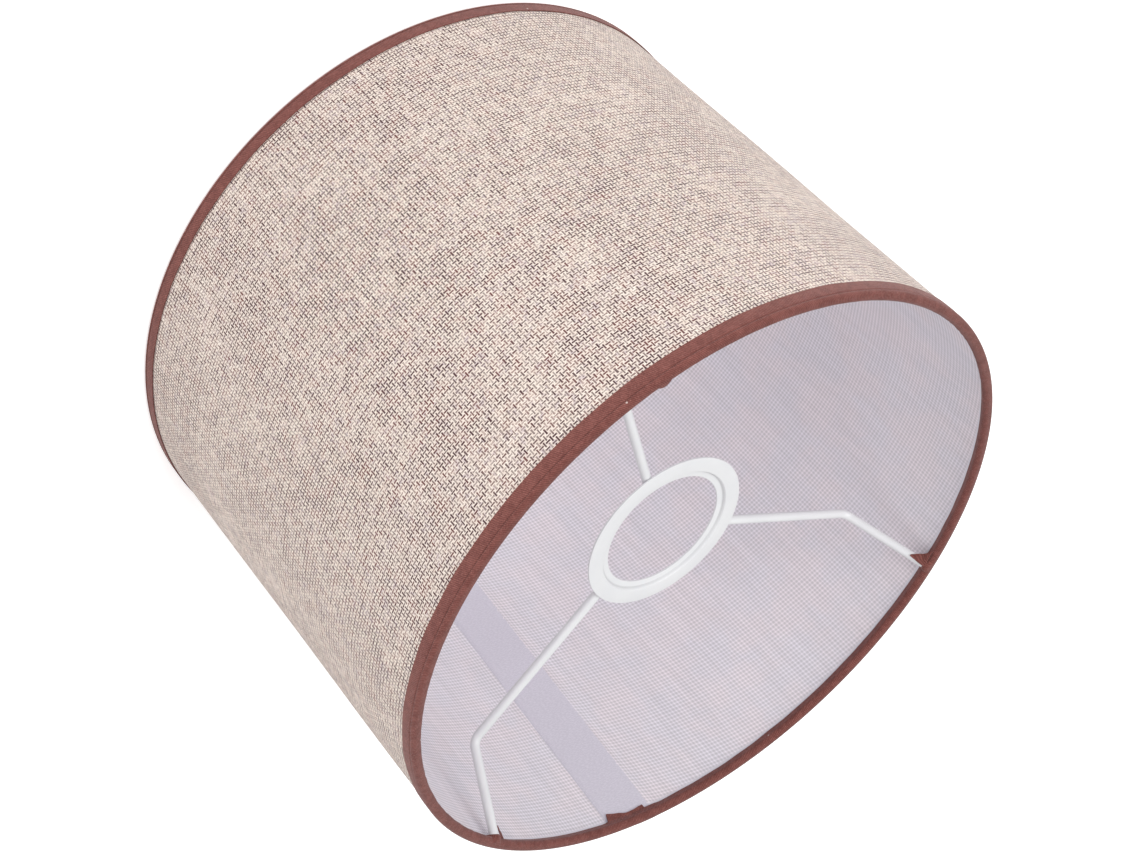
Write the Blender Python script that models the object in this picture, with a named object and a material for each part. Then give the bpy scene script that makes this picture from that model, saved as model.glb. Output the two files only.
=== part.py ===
"""Drum lamp shade with a three-armed ring fitter, one closed solid for each physical piece.

Metres, +Z up. The shade stands on its plain rim: the origin is the centre of that rim, on the
surface it stands on, and the fitter end is at the top. Azimuths are in degrees from +X towards +Y.

The wall is a rolled sheet. From outside to inside it is woven cover, stiff liner, then, at each
rim only, a wire ring. A woven tape is folded over each rim and tucked back under its ring. One
end of the liner runs on as a bare tab under the other end, and a strip of adhesive joins the two.
"""

import math

import bmesh
import bpy
from mathutils import Matrix, Vector

# Overall sizes
SHADE_DIAMETER = 0.220  # over the rim tape
SHADE_HEIGHT = 0.168  # rim to rim

# Sheet and tape thicknesses, and the clearance between pieces that touch
TAPE_THICKNESS = 0.0003
COVER_THICKNESS = 0.0004
LINER_THICKNESS = 0.00025
ADHESIVE_THICKNESS = 0.00015
LAYER_GAP = 0.0001

# Rims
TRIM_WIDTH = 0.0058  # band of tape that shows on the outside
CROWN_WIDTH = 0.0006  # flat that the tape makes along the very top of the rim
TUCK_ANGLE = 45  # how far the tape follows the ring below its middle, in degrees
TUCK_REACH = 0.00095  # the tucked edge meets the liner this far below the roll
RING_WIRE = 0.0018  # wire diameter

# Lap seam of the rolled sheet
SEAM_AZIMUTH = 52.0  # where the outer end of the sheet stops
LAP_WIDTH = 0.018  # length of the bare tab, measured round the wall
LAP_RAMP = 0.004  # stretch over which the tab steps in under the other end
LAP_MARGIN = 0.001  # bare border round the adhesive
SEAM_GAP = 0.0003  # clearance between sheet ends that meet
TAB_CLEARANCE = 0.0003  # from the tucked tape to the tab

# Fitter: a stepped washer on three bent wires
FITTER_DEPTH = 0.0286  # rim down to the washer's upper face
FITTER_HOLE = 0.0423  # for the threaded skirt of a lampholder
LIP_WIDTH = 0.0022  # flat lip round the hole
STEP_RUN = 0.0005  # width of the sloping step from the lip up to the flange
FLANGE_WIDTH = 0.00535
LIP_DROP = 0.0011  # the lip lies this much below the flange
WASHER_THICKNESS = 0.0007
ARM_WIRE = 0.0031  # wire diameter
ARM_AZIMUTHS = (10.8, 122.2, 255.4)  # where the arms meet the ring
ARM_SKEWS = (2.0, -0.8, 0.0)  # how far each arm is turned about that end, in degrees
ARM_RISE_RUN = 0.01565  # from the bend out to the middle of the ring
ARM_INSET = 0.0006  # each arm meets the ring this much inside its middle
ARM_BEND_RADIUS = 0.0045
WELD_MARGIN = 0.00135  # from the step out to the end of each wire under the flange
NOTCH_CLEARANCE = 0.0003  # round each arm where it passes through the tape

# Facets
WALL_FACETS = 60
WASHER_FACETS = 48
ROLL_STEPS = 3  # in each quarter turn of the tape
TUCK_STEPS = 2
RING_SIDES = 8
BEND_STEPS = 6
CUTTER_SIDES = 12

# Radii of the layers, worked out from the outside in
SHADE_RADIUS = SHADE_DIAMETER / 2
COVER_RADIUS = SHADE_RADIUS - TAPE_THICKNESS - LAYER_GAP
LINER_RADIUS = COVER_RADIUS - COVER_THICKNESS - LAYER_GAP
LINER_INSIDE = LINER_RADIUS - LINER_THICKNESS
RING_RADIUS = LINER_INSIDE - LAYER_GAP - RING_WIRE / 2
RIM_THICKNESS = SHADE_RADIUS - (RING_RADIUS - RING_WIRE / 2 - LAYER_GAP - TAPE_THICKNESS)
ROLL_RADIUS = (RIM_THICKNESS - CROWN_WIDTH) / 2
TUCK_DEPTH = 2 * ROLL_RADIUS + TUCK_REACH
ADHESIVE_RADIUS = LINER_INSIDE - LAYER_GAP
TAB_RADIUS = ADHESIVE_RADIUS - ADHESIVE_THICKNESS - LAYER_GAP
LIP_EDGE = FITTER_HOLE / 2 + LIP_WIDTH
FLANGE_EDGE = LIP_EDGE + STEP_RUN
WASHER_RADIUS = FLANGE_EDGE + FLANGE_WIDTH

# Heights: the sheet stops level with the middle of each ring
SHEET_EDGE = ROLL_RADIUS
TAB_EDGE = TUCK_DEPTH + TAB_CLEARANCE
WASHER_TOP = SHADE_HEIGHT - FITTER_DEPTH
ARM_HEIGHT = WASHER_TOP - WASHER_THICKNESS - LAYER_GAP - ARM_WIRE / 2
RING_HEIGHT = SHADE_HEIGHT - ROLL_RADIUS


def clear_scene():
    for obj in list(bpy.data.objects):
        bpy.data.objects.remove(obj, do_unlink=True)


def make_material(name, colour, roughness, metallic=0.0):
    material = bpy.data.materials.new(name)
    material.use_nodes = True
    shader = material.node_tree.nodes["Principled BSDF"]
    shader.inputs["Base Color"].default_value = (*colour, 1.0)
    shader.inputs["Roughness"].default_value = roughness
    shader.inputs["Metallic"].default_value = metallic
    return material


def add_piece(name, data, material, parent):
    piece = bpy.data.objects.new(name, data)
    if not data.materials:
        data.materials.append(material)
    bpy.context.scene.collection.objects.link(piece)
    piece.parent = parent
    return piece


def around(radius, azimuth, height):
    angle = math.radians(azimuth)
    return Vector((radius * math.cos(angle), radius * math.sin(angle), height))


def loft(name, sections, closed):
    """Mesh through a row of sections with equal point counts, joined end to end or capped."""
    shape = bmesh.new()
    rows = [[shape.verts.new(point) for point in section] for section in sections]
    count = len(rows[0])
    spans = len(rows) if closed else len(rows) - 1
    for i in range(spans):
        here = rows[i]
        there = rows[(i + 1) % len(rows)]
        for j in range(count):
            k = (j + 1) % count
            shape.faces.new((here[j], there[j], there[k], here[k]))
    if not closed:
        shape.faces.new(rows[0])
        shape.faces.new(reversed(rows[-1]))
    bmesh.ops.recalc_face_normals(shape, faces=shape.faces)
    mesh = bpy.data.meshes.new(name)
    shape.to_mesh(mesh)
    shape.free()
    mesh.shade_smooth()
    mesh.set_sharp_from_angle(angle=math.radians(35))
    return mesh


def turned(name, profile, facets):
    """Solid of revolution about Z from a closed profile of (radius, height) points."""
    azimuths = [360 * i / facets for i in range(facets)]
    sections = [[around(r, azimuth, z) for r, z in profile] for azimuth in azimuths]
    return loft(name, sections, closed=True)


def wall_point(radius, azimuth, height):
    """Point on the wall's facets, so that layers keep their gap between two corners too."""
    half_step = 180 / WALL_FACETS
    offset = azimuth % (2 * half_step) - half_step
    flat = math.cos(math.radians(half_step)) / math.cos(math.radians(offset))
    return around(radius * flat, azimuth, height)


def wall_azimuths(start, end):
    """The facet corners between two azimuths, with the two ends themselves."""
    step = 360 / WALL_FACETS
    first = math.floor(start / step) + 1
    last = math.ceil(end / step)
    corners = [step * i for i in range(first, last)]
    return [start, *corners, end]


def wall_section(azimuth, outside, thickness, edge):
    """Cross-section of a sheet that stops the same distance short of both rims."""
    inside = outside - thickness
    low, high = edge, SHADE_HEIGHT - edge
    corners = ((outside, low), (outside, high), (inside, high), (inside, low))
    return [wall_point(radius, azimuth, height) for radius, height in corners]


def arc_degrees(length, radius):
    return math.degrees(length / radius)


def outer_cover():
    gap = arc_degrees(SEAM_GAP, COVER_RADIUS) / 2
    azimuths = wall_azimuths(SEAM_AZIMUTH + gap, SEAM_AZIMUTH + 360 - gap)
    sections = [wall_section(a, COVER_RADIUS, COVER_THICKNESS, SHEET_EDGE) for a in azimuths]
    return loft("outer_fabric", sections, closed=False)


def tab_azimuths():
    """Where the tab starts, and where it reaches the end that lies over it."""
    return SEAM_AZIMUTH - arc_degrees(LAP_WIDTH, TAB_RADIUS), SEAM_AZIMUTH


def liner_panel():
    """Rolled sheet with a shorter tab at one end, which steps in under the other end."""
    tab_start, tab_end = tab_azimuths()
    ramp_end = tab_end + arc_degrees(LAP_RAMP, LINER_RADIUS)
    full_height = ramp_end + arc_degrees(LAP_MARGIN, LINER_RADIUS)
    sheet_end = SEAM_AZIMUTH + 360 - arc_degrees(SEAM_GAP, LINER_RADIUS) / 2
    tab = wall_azimuths(tab_start, tab_end)
    wall = wall_azimuths(full_height, sheet_end)
    sections = [wall_section(a, TAB_RADIUS, LINER_THICKNESS, TAB_EDGE) for a in tab]
    sections.append(wall_section(ramp_end, LINER_RADIUS, LINER_THICKNESS, TAB_EDGE))
    sections += [wall_section(a, LINER_RADIUS, LINER_THICKNESS, SHEET_EDGE) for a in wall]
    return loft("liner_panel", sections, closed=False)


def seam_adhesive():
    tab_start, tab_end = tab_azimuths()
    margin = arc_degrees(LAP_MARGIN, ADHESIVE_RADIUS)
    edge = TAB_EDGE + LAP_MARGIN
    azimuths = wall_azimuths(tab_start + margin, tab_end - margin)
    sections = [wall_section(a, ADHESIVE_RADIUS, ADHESIVE_THICKNESS, edge) for a in azimuths]
    return loft("seam_adhesive", sections, closed=False)


def rim_height(depth, at_fitter_end):
    return SHADE_HEIGHT - depth if at_fitter_end else depth


def arc_points(centre, radius, start, end, steps):
    """Arc in the rim's cross-section, as (radius, depth from the rim) points."""
    turns = [math.radians(start + (end - start) * i / steps) for i in range(steps + 1)]
    return [(centre + radius * math.cos(t), ROLL_RADIUS - radius * math.sin(t)) for t in turns]


def roll_arc(radius):
    """Round the outer corner, across the flat crown, and round the ring to the tuck."""
    outer_centre = SHADE_RADIUS - ROLL_RADIUS
    inner_centre = outer_centre - CROWN_WIDTH
    outer = arc_points(outer_centre, radius, 0, 90, ROLL_STEPS)
    inner = arc_points(inner_centre, radius, 90, 180 + TUCK_ANGLE, ROLL_STEPS + TUCK_STEPS)
    return outer + inner


def trim_tape(name, at_fitter_end):
    """Tape folded over a rim: a band outside, a roll over the ring, and a tuck to the liner."""
    tuck_end = LINER_INSIDE - LAYER_GAP
    outer = [(SHADE_RADIUS, TRIM_WIDTH), *roll_arc(ROLL_RADIUS)]
    outer.append((tuck_end, TUCK_DEPTH))
    inner_side = SHADE_RADIUS - TAPE_THICKNESS
    inner = [(inner_side, TRIM_WIDTH), *roll_arc(ROLL_RADIUS - TAPE_THICKNESS)]
    inner.append((tuck_end, TUCK_DEPTH - TAPE_THICKNESS))
    profile = [(r, rim_height(d, at_fitter_end)) for r, d in outer + inner[::-1]]
    return turned(name, profile, WALL_FACETS)


def rim_ring(name, at_fitter_end):
    height = rim_height(ROLL_RADIUS, at_fitter_end)
    profile = []
    for i in range(RING_SIDES):
        angle = 2 * math.pi * (i + 0.5) / RING_SIDES
        across = RING_WIRE / 2 * math.cos(angle)
        up = RING_WIRE / 2 * math.sin(angle)
        profile.append((RING_RADIUS + across, height + up))
    return turned(name, profile, WALL_FACETS)


def fitter_washer():
    """Pressed steel washer: a flat flange, a sloping step, and a lower lip round the hole."""
    upper = [
        (WASHER_RADIUS, WASHER_TOP),
        (FLANGE_EDGE, WASHER_TOP),
        (LIP_EDGE, WASHER_TOP - LIP_DROP),
        (FITTER_HOLE / 2, WASHER_TOP - LIP_DROP),
    ]
    lower = [(r, z - WASHER_THICKNESS) for r, z in reversed(upper)]
    return turned("fitter_washer", upper + lower, WASHER_FACETS)


def arm_bend():
    return Vector((RING_RADIUS - ARM_RISE_RUN, 0, ARM_HEIGHT))


def arm_direction():
    """Direction of the rising stretch, which passes just inside the middle of the ring."""
    rise = Vector((ARM_RISE_RUN, 0, RING_HEIGHT - ARM_HEIGHT))
    lean = math.asin(ARM_INSET / rise.length)
    return (Matrix.Rotation(-lean, 3, "Y") @ rise).normalized()


def arm_end():
    """The wire stops where its flat end comes up against the ring."""
    ring_middle = Vector((RING_RADIUS, 0, RING_HEIGHT))
    along = (ring_middle - arm_bend()).dot(arm_direction())
    reach = along - RING_WIRE / 2 - LAYER_GAP
    return arm_bend() + arm_direction() * reach


def arm_path():
    """Centre line of an arm in the XZ plane, with its bend rounded."""
    rising = arm_direction()
    turn = math.atan2(rising.z, rising.x)
    cut = ARM_BEND_RADIUS * math.tan(turn / 2)
    arc_start = arm_bend() - Vector((cut, 0, 0))
    points = [Vector((FLANGE_EDGE + WELD_MARGIN, 0, ARM_HEIGHT))]
    for i in range(BEND_STEPS + 1):
        angle = turn * i / BEND_STEPS
        along = ARM_BEND_RADIUS * math.sin(angle)
        up = ARM_BEND_RADIUS * (1 - math.cos(angle))
        points.append(arc_start + Vector((along, 0, up)))
    points.append(arm_end())
    return points


def arm_place(azimuth, skew):
    """Carries an arm from the XZ plane to its azimuth, and turns it a little about its outer end."""
    end = Matrix.Translation(arm_end())
    turn = Matrix.Rotation(math.radians(skew), 4, "Z")
    return Matrix.Rotation(math.radians(azimuth), 4, "Z") @ end @ turn @ end.inverted()


def arm_wire():
    curve = bpy.data.curves.new("spider_arm", "CURVE")
    curve.dimensions = "3D"
    curve.bevel_depth = ARM_WIRE / 2
    curve.bevel_resolution = 3
    curve.use_fill_caps = True
    points = arm_path()
    spline = curve.splines.new("POLY")
    spline.points.add(len(points) - 1)
    for target, point in zip(spline.points, points):
        target.co = (*point, 1.0)
    spline.use_smooth = True
    return curve


def arm_notch(tape, number, place, parent):
    """Cut the slit through which an arm passes under the tape to its ring."""
    radius = ARM_WIRE / 2 + NOTCH_CLEARANCE
    length = RIM_THICKNESS * 2
    shape = bmesh.new()
    bmesh.ops.create_cone(
        shape, cap_ends=True, segments=CUTTER_SIDES, radius1=radius, radius2=radius, depth=length
    )
    mesh = bpy.data.meshes.new(f"notch_cutter_{number}")
    shape.to_mesh(mesh)
    shape.free()
    tip = arm_end() + arm_direction() * NOTCH_CLEARANCE
    centre = tip - arm_direction() * length / 2
    cutter = bpy.data.objects.new(mesh.name, mesh)
    bpy.context.scene.collection.objects.link(cutter)
    cutter.parent = parent
    aim = Vector((0, 0, 1)).rotation_difference(arm_direction()).to_matrix().to_4x4()
    cutter.matrix_local = place @ Matrix.Translation(centre) @ aim
    cutter.hide_render = True
    cutter.display_type = "WIRE"
    cut = tape.modifiers.new(f"Notch {number}", "BOOLEAN")
    cut.operation = "DIFFERENCE"
    cut.solver = "EXACT"
    cut.object = cutter


def build():
    clear_scene()
    shade = bpy.data.objects.new("lamp_shade", None)
    bpy.context.scene.collection.objects.link(shade)

    cover = make_material("Heathered woven cover", (0.61, 0.51, 0.48), 0.9)
    liner = make_material("White liner sheet", (0.72, 0.68, 0.71), 0.7)
    adhesive = make_material("Clear adhesive strip", (0.75, 0.74, 0.70), 0.5)
    tape = make_material("Brown cotton tape", (0.22, 0.11, 0.09), 0.85)
    wire = make_material("Bare steel wire", (0.45, 0.45, 0.46), 0.4, 1.0)
    paint = make_material("White powder coat", (0.80, 0.80, 0.82), 0.35)

    add_piece("outer_fabric", outer_cover(), cover, shade)
    add_piece("liner_panel", liner_panel(), liner, shade)
    add_piece("seam_adhesive", seam_adhesive(), adhesive, shade)
    add_piece("fitter_end_ring", rim_ring("fitter_end_ring", True), wire, shade)
    add_piece("plain_end_ring", rim_ring("plain_end_ring", False), wire, shade)
    add_piece("plain_end_trim", trim_tape("plain_end_trim", False), tape, shade)
    fitter_trim = add_piece("fitter_end_trim", trim_tape("fitter_end_trim", True), tape, shade)
    add_piece("fitter_washer", fitter_washer(), paint, shade)

    wire_shape = arm_wire()
    for number, (azimuth, skew) in enumerate(zip(ARM_AZIMUTHS, ARM_SKEWS), start=1):
        place = arm_place(azimuth, skew)
        arm = add_piece(f"spider_arm_{number}", wire_shape, paint, shade)
        arm.matrix_local = place
        arm_notch(fitter_trim, number, place, shade)


build()
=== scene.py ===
"""Looks of the drum lamp shade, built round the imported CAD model.

Metres, +Z up, in the CAD model's frame: the shade stands on its plain rim, with its axis on Z.
Azimuths are in degrees from +X towards +Y. The woven cover, liner, seam film, rim tapes, washer
and arms are finer pieces that stand for their CAD nodes. The two wire rings stay as packed, with
a material of their own.
"""

import math

import bpy
from mathutils import Matrix, Vector, noise


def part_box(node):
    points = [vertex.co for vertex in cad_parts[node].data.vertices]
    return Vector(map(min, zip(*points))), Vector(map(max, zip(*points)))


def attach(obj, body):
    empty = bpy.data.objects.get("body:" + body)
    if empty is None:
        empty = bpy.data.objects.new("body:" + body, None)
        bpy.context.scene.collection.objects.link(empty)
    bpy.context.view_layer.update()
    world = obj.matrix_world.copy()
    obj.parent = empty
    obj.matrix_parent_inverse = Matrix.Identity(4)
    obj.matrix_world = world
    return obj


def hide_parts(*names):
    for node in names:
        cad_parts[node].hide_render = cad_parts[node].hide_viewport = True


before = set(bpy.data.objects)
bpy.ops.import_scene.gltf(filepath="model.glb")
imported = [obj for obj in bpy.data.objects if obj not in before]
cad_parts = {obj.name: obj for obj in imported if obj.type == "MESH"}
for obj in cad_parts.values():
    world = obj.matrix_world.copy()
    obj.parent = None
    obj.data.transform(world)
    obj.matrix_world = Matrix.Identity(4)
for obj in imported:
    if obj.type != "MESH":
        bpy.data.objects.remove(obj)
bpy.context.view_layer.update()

MM = 0.001

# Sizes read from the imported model
SHADE_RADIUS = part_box("fitter_end_trim")[1].x
SHADE_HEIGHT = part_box("fitter_end_trim")[1].z
COVER_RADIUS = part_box("outer_fabric")[1].x
BAND_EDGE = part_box("fitter_end_trim")[0].z
WASHER_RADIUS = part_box("fitter_washer")[1].x
WASHER_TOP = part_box("fitter_washer")[1].z
WASHER_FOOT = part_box("fitter_washer")[0].z
RING_HEIGHT = (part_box("fitter_end_ring")[0].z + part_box("fitter_end_ring")[1].z) / 2
RING_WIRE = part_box("fitter_end_ring")[1].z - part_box("fitter_end_ring")[0].z
RING_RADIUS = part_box("fitter_end_ring")[1].x - RING_WIRE / 2

# Sheets, as in the CAD model
TAPE_THICKNESS = 0.3 * MM
COVER_THICKNESS = 0.4 * MM
LINER_THICKNESS = 0.25 * MM
ADHESIVE_THICKNESS = 0.15 * MM
LAYER_GAP = 0.1 * MM
LINER_RADIUS = COVER_RADIUS - COVER_THICKNESS - LAYER_GAP
LINER_INSIDE = LINER_RADIUS - LINER_THICKNESS
TAB_RADIUS = LINER_INSIDE - 2 * LAYER_GAP - ADHESIVE_THICKNESS
SHEET_EDGE = SHADE_HEIGHT - RING_HEIGHT  # the sheets stop level with the middle of each ring
ROW_STEP = 3.4 * MM  # height between rows of points
LINER_SPANS = 48

# Unevenness of the hand-rolled wall
SWELL_HEIGHT = 0.22 * MM
SWELL_SIZE = 55 * MM
SWELL_FADE = 14 * MM  # the rings hold the wall round within this distance of a rim

# Lap seam
SEAM_AZIMUTH = 52.0
LAP_WIDTH = 18 * MM
LAP_RAMP = 4 * MM  # the liner steps in over this length, next to its tab
SEAM_GAP = 0.3 * MM
TAB_EDGE = 4.1 * MM  # the tab stops short of each rim by this much
TAB_PRESS = 0.30 * MM  # the tab's free edge is pressed outwards, over this many degrees
TAB_PRESS_ANGLE = 0.8
TAB_BEVEL = 0.21 * MM  # and its inner face tapers, over this many degrees
TAB_BEVEL_ANGLE = 0.6
FILM_MARGIN = 1.8 * MM  # bare border of the lap on each side of its film
HEM_WIDTH = 9 * MM  # the cover's outer end is folded under by this much
HEM_RISE = 0.28 * MM
END_ROUNDING = 0.14 * MM  # the cover's two ends are rounded off by this much
SEAM_LEAN = 3.4  # degrees that the seam drifts between the rims, as the sheet was rolled askew
STRAIGHT_HEIGHT = 125 * MM  # where the leaning seam crosses its nominal azimuth

# Rim tape
TAPE_RIB = 0.62 * MM
ROLL_RADIUS = SHADE_HEIGHT - RING_HEIGHT  # the tape turns over the rim on this radius, twice
CROWN_WIDTH = 0.6 * MM  # flat top between the two turns
TUCK_ANGLE = 45  # how far past upright the inner turn goes on round the ring
TUCK_REACH = 1.4 * MM
TUCK_STEPS = 4
TAB_ROOM = 0.5 * MM  # the tucked edge stands in by this much where it covers the tab
CREASE_DEPTH = 1.65 * MM  # a faint crease runs round where the tape starts to turn over; it is grooved, and painted shade darkens it
CREASE_GROOVE = 0.16 * MM
CREASE_WIDTH = 0.28 * MM
EDGE_WANDER = 0.22 * MM  # how far the outer band's free edge strays from straight
EDGE_WANDER_SIZE = 14 * MM
BAND_PUFF = 0.05 * MM  # the outer band bulges by this much between its edges
BAND_RIPPLE = 0.03 * MM
BAND_INSET = 0.02 * MM
TURN_SAG = 0.06 * MM
LIP_RIPPLE = 0.05 * MM  # long and short waves of the inner turn
LIP_FINE = 0.03 * MM
TUCK_FINE = 0.10 * MM
TUCK_RIPPLE = 0.18 * MM
RIPPLE_SIZE = 9 * MM
FINE_SIZE = 2.2 * MM

# Path of the tape over the end of an arm, as (radius, depth from the rim) in millimetres
OVER_ARM = ((107.975, 0.0), (106.6, 0.1), (105.55, 0.6), (105.15, 1.2), (104.95, 1.7))

# Loose ends of the fitter end's tape: two edges each, through points of (azimuth in degrees,
# radius and depth from the rim in millimetres)
TAIL_EDGES = (
    ((41.3, 107.9, 2.6), (44.5, 107.9, 2.6), (47.5, 107.9, 2.6), (50.0, 107.9, 2.6)),
    ((42.3, 107.8, 7.3), (44.7, 107.7, 6.0), (46.3, 107.6, 5.0), (49.9, 107.7, 5.6)),
)
TONGUE_EDGES = (
    ((122.2, 105.0, 0.9), (122.3, 103.95, 2.95), (122.5, 103.15, 4.75), (122.65, 102.4, 6.4)),
    ((125.6, 106.5, 1.9), (124.2, 105.9, 3.6), (123.45, 104.6, 5.3), (122.85, 102.8, 6.6)),
)
SLIVER_EDGES = (
    ((13.6, 107.6, 2.4), (15.0, 107.7, 6.4), (16.0, 107.9, 9.8)),
    ((14.2, 107.3, 2.4), (15.3, 107.5, 6.2), (16.1, 107.8, 9.9)),
)

# Fitter
LIP_WIDTH = 2.2 * MM
STEP_RUN = 0.5 * MM
FLANGE_WIDTH = 5.35 * MM
WASHER_THICKNESS = 0.7 * MM
HOLE_RADIUS = WASHER_RADIUS - FLANGE_WIDTH - STEP_RUN - LIP_WIDTH
ARM_WIRE = 3.1 * MM
ARM_AZIMUTHS = (10.8, 122.2, 255.4)
ARM_SKEWS = (2.0, -0.8, 0.0)
ARM_RISE_RUN = 15.65 * MM
ARM_INSET = 0.6 * MM
ARM_BEND_RADIUS = 4.5 * MM
ARM_STRAIGHT_STEPS = 12
WELD_MARGIN = 1.35 * MM
WELD_LENGTH = 5 * MM
WELD_PRESS = 0.10  # share of its thickness by which the wire is flattened at its weld

# Weave: each cell shows a pair of cream yarns with a thin dark yarn between them
WARP_PITCH = 1.25 * MM
WEFT_PITCH = 1.46 * MM
WEFT_SLOPE = 0.235  # how steeply the weft climbs just past the seam; it levels out half way round
COVER_WANDER = 0.55  # span, in cells, that the yarns stray over
LINER_WANDER = 0.5  # the same, as it shows through the liner
DARK_WARP = 0.21  # half widths of the dark yarns, in cells
DARK_WEFT = 0.18
DARK_SOFTNESS = 0.07
FLOAT_END = (0.58, 0.73)  # a dark yarn fades out between these distances from a float's middle
DYE_RANGE = (0.60, 1.11)  # a dark yarn goes from its weakest to full strength over this range
DYE_WEAKEST = 0.44
CREST_PAINTED_SHADES = (0.84, 1.05)  # painted shade at the cream yarns' sides and painted highlight on their tops, as brightness factors
SHOWS_THROUGH = (4.7 * MM, 5.8 * MM)  # distance from a rim where the weave starts to show inside
CUT_SOFTNESS = 0.08 * MM
CUT_NICKS = 0.7 * MM  # how ragged the liner's cut edge is beside the tab

# Colours, linear
CREAM = (0.94, 0.835, 0.745)
CREAM_DEEP = (0.82, 0.690, 0.600)
LAVENDER = (0.66, 0.570, 0.600)
GREY_GREEN = (0.76, 0.710, 0.610)
DARK_MAUVE = (0.078, 0.036, 0.040)
DARK_RED = (0.150, 0.056, 0.052)
LINER_COOL = (0.700, 0.672, 0.722)
LINER_PINK = (0.735, 0.680, 0.716)
LINER_EDGE = (0.715, 0.700, 0.752)
LINER_TAB = (0.595, 0.570, 0.640)
LINER_TAB_PALE = (0.660, 0.635, 0.705)
TAPE = (0.215, 0.078, 0.066)
TAPE_DARK = (0.155, 0.053, 0.045)
TAPE_PALE = (0.280, 0.124, 0.108)
TAPE_LINT = (0.60, 0.50, 0.46)
COAT = (0.775, 0.780, 0.790)
COAT_DULL = (0.750, 0.757, 0.772)
STEEL_DARK = (0.36, 0.36, 0.37)
STEEL_PALE = (0.52, 0.52, 0.53)
FILM = (0.70, 0.69, 0.65)
FILM_PALE = (0.80, 0.79, 0.75)
FLOOR = (0.93, 0.93, 0.93)
FLOOR_PALE = (0.95, 0.95, 0.95)

# Studio
FLOOR_SIZE = 24.0
FLOOR_SPANS = 8
FLOOR_GAP = 0.2 * MM
FLOOR_GLOW = 0.45
SKY_STRENGTH = 0.635
CAMERA_PLACE = (-0.0007, -0.5620, 0.4719)
CAMERA_PITCH = 34.5  # degrees down
CAMERA_ROLL = 136.7
FOCAL_LENGTH = 65.64  # millimetres, as is the sensor's width
SENSOR_WIDTH = 36


def smooth(value):
    """Smooth step from 0 at 0 to 1 at 1, level beyond both."""
    value = min(max(value, 0.0), 1.0)
    return value * value * (3 - 2 * value)


def around(radius, azimuth, height):
    """Point at a radius, azimuth and height."""
    angle = math.radians(azimuth)
    return Vector((radius * math.cos(angle), radius * math.sin(angle), height))


def degrees_along(length, radius=SHADE_RADIUS):
    """Angle, in degrees, that a length takes up round the wall."""
    return math.degrees(length / radius)


def angle_between(first, second):
    """Signed difference of two azimuths, from -180 to 180 degrees."""
    return (first - second + 180) % 360 - 180


def wobble(azimuth, height, scale, seed):
    """Smooth noise from about -1 to 1 on the shade's surface, with features of about scale."""
    return noise.noise(around(SHADE_RADIUS, azimuth, height) / scale + Vector((seed, 0, 0)))


# ---------------------------------------------------------------- meshes


def grid_mesh(name, rows, wrap_rows=False, wrap_columns=False):
    """Quads through rows of points.

    A wrapped direction is joined end to end. Rows that close on themselves but not on each other
    get a face over the first row and one over the last.
    """
    height = len(rows)
    width = len(rows[0])
    points = [point for row in rows for point in row]
    faces = []
    for i in range(height if wrap_rows else height - 1):
        for j in range(width if wrap_columns else width - 1):
            here = i * width
            there = (i + 1) % height * width
            k = (j + 1) % width
            faces.append((here + j, there + j, there + k, here + k))
    if wrap_columns and not wrap_rows:
        faces.append(tuple(range(width)))
        faces.append(tuple((height - 1) * width + j for j in reversed(range(width))))
    mesh = bpy.data.meshes.new(name)
    mesh.from_pydata([tuple(point) for point in points], [], faces)
    mesh.validate()
    return mesh


def add_piece(name, mesh, material, nodes=(), flat_angle=40):
    """Link a mesh as a piece of the object, which rides on the one body."""
    turn_outwards(mesh)
    mesh.shade_smooth()
    mesh.set_sharp_from_angle(angle=math.radians(flat_angle))
    mesh.materials.append(material)
    piece = bpy.data.objects.new(name, mesh)
    bpy.context.scene.collection.objects.link(piece)
    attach(piece, "root")
    if nodes:
        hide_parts(*nodes)
    return piece


def turn_outwards(mesh):
    """Point a closed mesh's faces outwards, which its signed volume tells."""
    volume = 0.0
    for face in mesh.polygons:
        corners = [mesh.vertices[i].co for i in face.vertices]
        for second, third in zip(corners[1:], corners[2:]):
            volume += corners[0].dot(second.cross(third))
    if volume < 0:
        mesh.flip_normals()


def spread(start, end, step):
    """Even values from start to end, no further apart than step."""
    count = max(1, math.ceil(abs(end - start) / step))
    return [start + (end - start) * i / count for i in range(count + 1)]


def seam_shift(height):
    """How far the leaning seam stands from its nominal azimuth at a height, in degrees."""
    return SEAM_LEAN * (STRAIGHT_HEIGHT - height) / SHADE_HEIGHT


def hem_bulge(azimuth):
    """How far the folded end of the cover lifts its outer face near the seam."""
    past = (SEAM_AZIMUTH - azimuth) % 360
    width = degrees_along(HEM_WIDTH)
    fade = 0.35 * width
    if past > width:
        return 0.0
    return HEM_RISE * smooth((width - past) / fade)


def wall_swell(azimuth, height):
    """The slight unevenness of a hand-rolled sheet, which fades out at the rims."""
    edge = min(height, SHADE_HEIGHT - height)
    hold = smooth(edge / SWELL_FADE)
    return SWELL_HEIGHT * hold * wobble(azimuth, height, SWELL_SIZE, 3)


def cover_azimuths():
    """All the way round from the seam, and closer over the folded hem at the end."""
    coarse, fine = 0.6, 0.15
    hem_columns = 33
    gap = degrees_along(SEAM_GAP) / 2
    end = SEAM_AZIMUTH + 360 - gap
    over_hem = [end - fine * i for i in range(1, hem_columns + 1)]
    return sorted(set(spread(SEAM_AZIMUTH + gap, end, coarse) + over_hem))


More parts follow.
